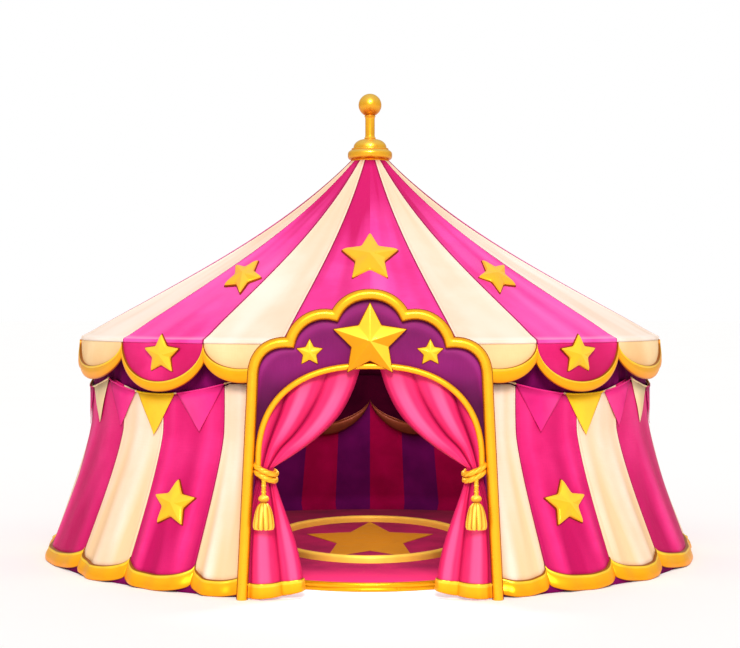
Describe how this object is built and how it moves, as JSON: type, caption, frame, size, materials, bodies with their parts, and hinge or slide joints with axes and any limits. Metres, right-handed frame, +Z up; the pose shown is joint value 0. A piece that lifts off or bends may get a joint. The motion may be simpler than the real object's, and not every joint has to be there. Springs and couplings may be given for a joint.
{
  "type": "circus big top tent",
  "caption": "Round striped circus tent with a scalloped valance, bunting, a flared wall, and a lobed portal with tied-back curtains that opens on a carpeted ring.",
  "frame": {"origin": "on the ground at the tent's axis", "axes": "+Z up, the doorway faces -Y, +X is on the doorway's right as seen from outside"},
  "size_m": [9.4, 9.3995, 6.6956],
  "materials": {
    "finial_gold": "polished gold",
    "gilt_trim": "gold paint, satin",
    "striped_canvas": "pink and cream stripes, satin",
    "maroon_canvas": "dark maroon, matt",
    "purple_panel": "purple paint, satin",
    "pink_satin": "pink satin",
    "gold_rope": "twisted gold cord",
    "bunting_cloth": "cream, pink and yellow cloth",
    "crimson_cloth": "dark crimson",
    "crimson_carpet": "short pile carpet"
  },
  "bodies": {
    "root": {"crown_flange": "finial_gold", "crown_dome": "finial_gold", "finial_post": "finial_gold", "finial_ball": "finial_gold", "roof_front_right": "striped_canvas", "roof_front_left": "striped_canvas", "roof_side_right": "striped_canvas", "roof_side_left": "striped_canvas", "roof_rear": "striped_canvas", "valance_front_right": "striped_canvas", "valance_front_left": "striped_canvas", "valance_rear": "striped_canvas", "wall_front_right": "striped_canvas", "wall_front_left": "striped_canvas", "wall_side_right": "striped_canvas", "wall_side_left": "striped_canvas", "wall_rear": "striped_canvas", "valance_trim_front_right": "gilt_trim", "valance_trim_front_left": "gilt_trim", "valance_trim_rear": "gilt_trim", "wall_hem": "gilt_trim", "portal_frame": "gilt_trim", "portal_arch": "gilt_trim", "header_star_big": "gilt_trim", "header_star_right": "gilt_trim", "header_star_left": "gilt_trim", "roof_star_centre": "gilt_trim", "roof_star_right": "gilt_trim", "roof_star_left": "gilt_trim", "valance_star_right": "gilt_trim", "valance_star_left": "gilt_trim", "wall_star_right": "gilt_trim", "wall_star_left": "gilt_trim", "curtain_hem_right": "gilt_trim", "curtain_hem_left": "gilt_trim", "threshold": "gilt_trim", "ring_curb": "gilt_trim", "floor_star": "gilt_trim", "wall_head_band": "maroon_canvas", "wall_head_centre": "maroon_canvas", "portal_header": "purple_panel", "porch": "purple_panel", "curtain_right": "pink_satin", "curtain_left": "pink_satin", "tieback_right": "gold_rope", "tieback_left": "gold_rope", "bunting": "bunting_cloth", "pelmet": "crimson_cloth", "floor": "crimson_carpet"}
  },
  "joints": []
}
